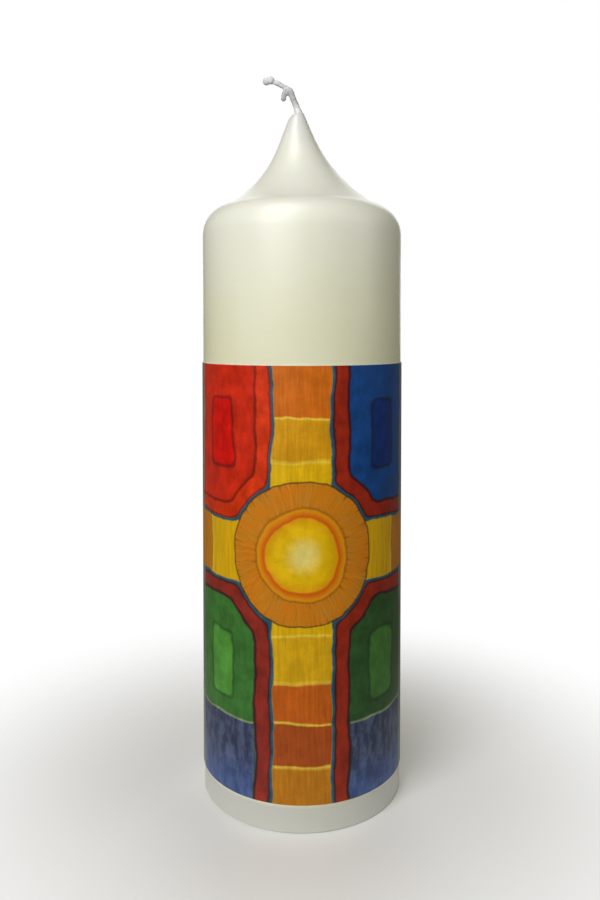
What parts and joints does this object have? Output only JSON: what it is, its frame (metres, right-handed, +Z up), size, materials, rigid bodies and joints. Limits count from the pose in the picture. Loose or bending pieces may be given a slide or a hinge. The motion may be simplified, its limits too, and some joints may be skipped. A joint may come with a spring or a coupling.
{
  "type": "pillar candle",
  "caption": "Tall ivory pillar candle with a flared tip, a curled waxed wick and a printed ringed-cross film wrapped round its front.",
  "frame": {"origin": "centre of the flat base, on the surface that the candle stands on", "axes": "+Z up along the candle, -Y towards the middle of the motif, +X to the right of the motif as it is looked at"},
  "size_m": [0.0708, 0.0703, 0.251],
  "materials": {
    "core_wax": "planed wax, matt",
    "ivory_coat": "dipped wax, soft satin",
    "wick_cotton": "braided cotton",
    "wick_wax": "thin clear wax over cotton",
    "sustainer_steel": "tin-plated pressed sheet",
    "film_wax": "smooth wax sheet",
    "motif_print": "printed colours, satin lacquer"
  },
  "bodies": {
    "root": {"wax_core": "core_wax", "overdip_coat": "ivory_coat", "wick": "wick_cotton", "wick_priming": "wick_wax", "wick_end_bead": "wick_wax", "wick_side_drip": "wick_wax", "wick_sustainer": "sustainer_steel", "base_plug": "core_wax", "film_backing": "film_wax", "motif_film": "motif_print"}
  },
  "joints": []
}
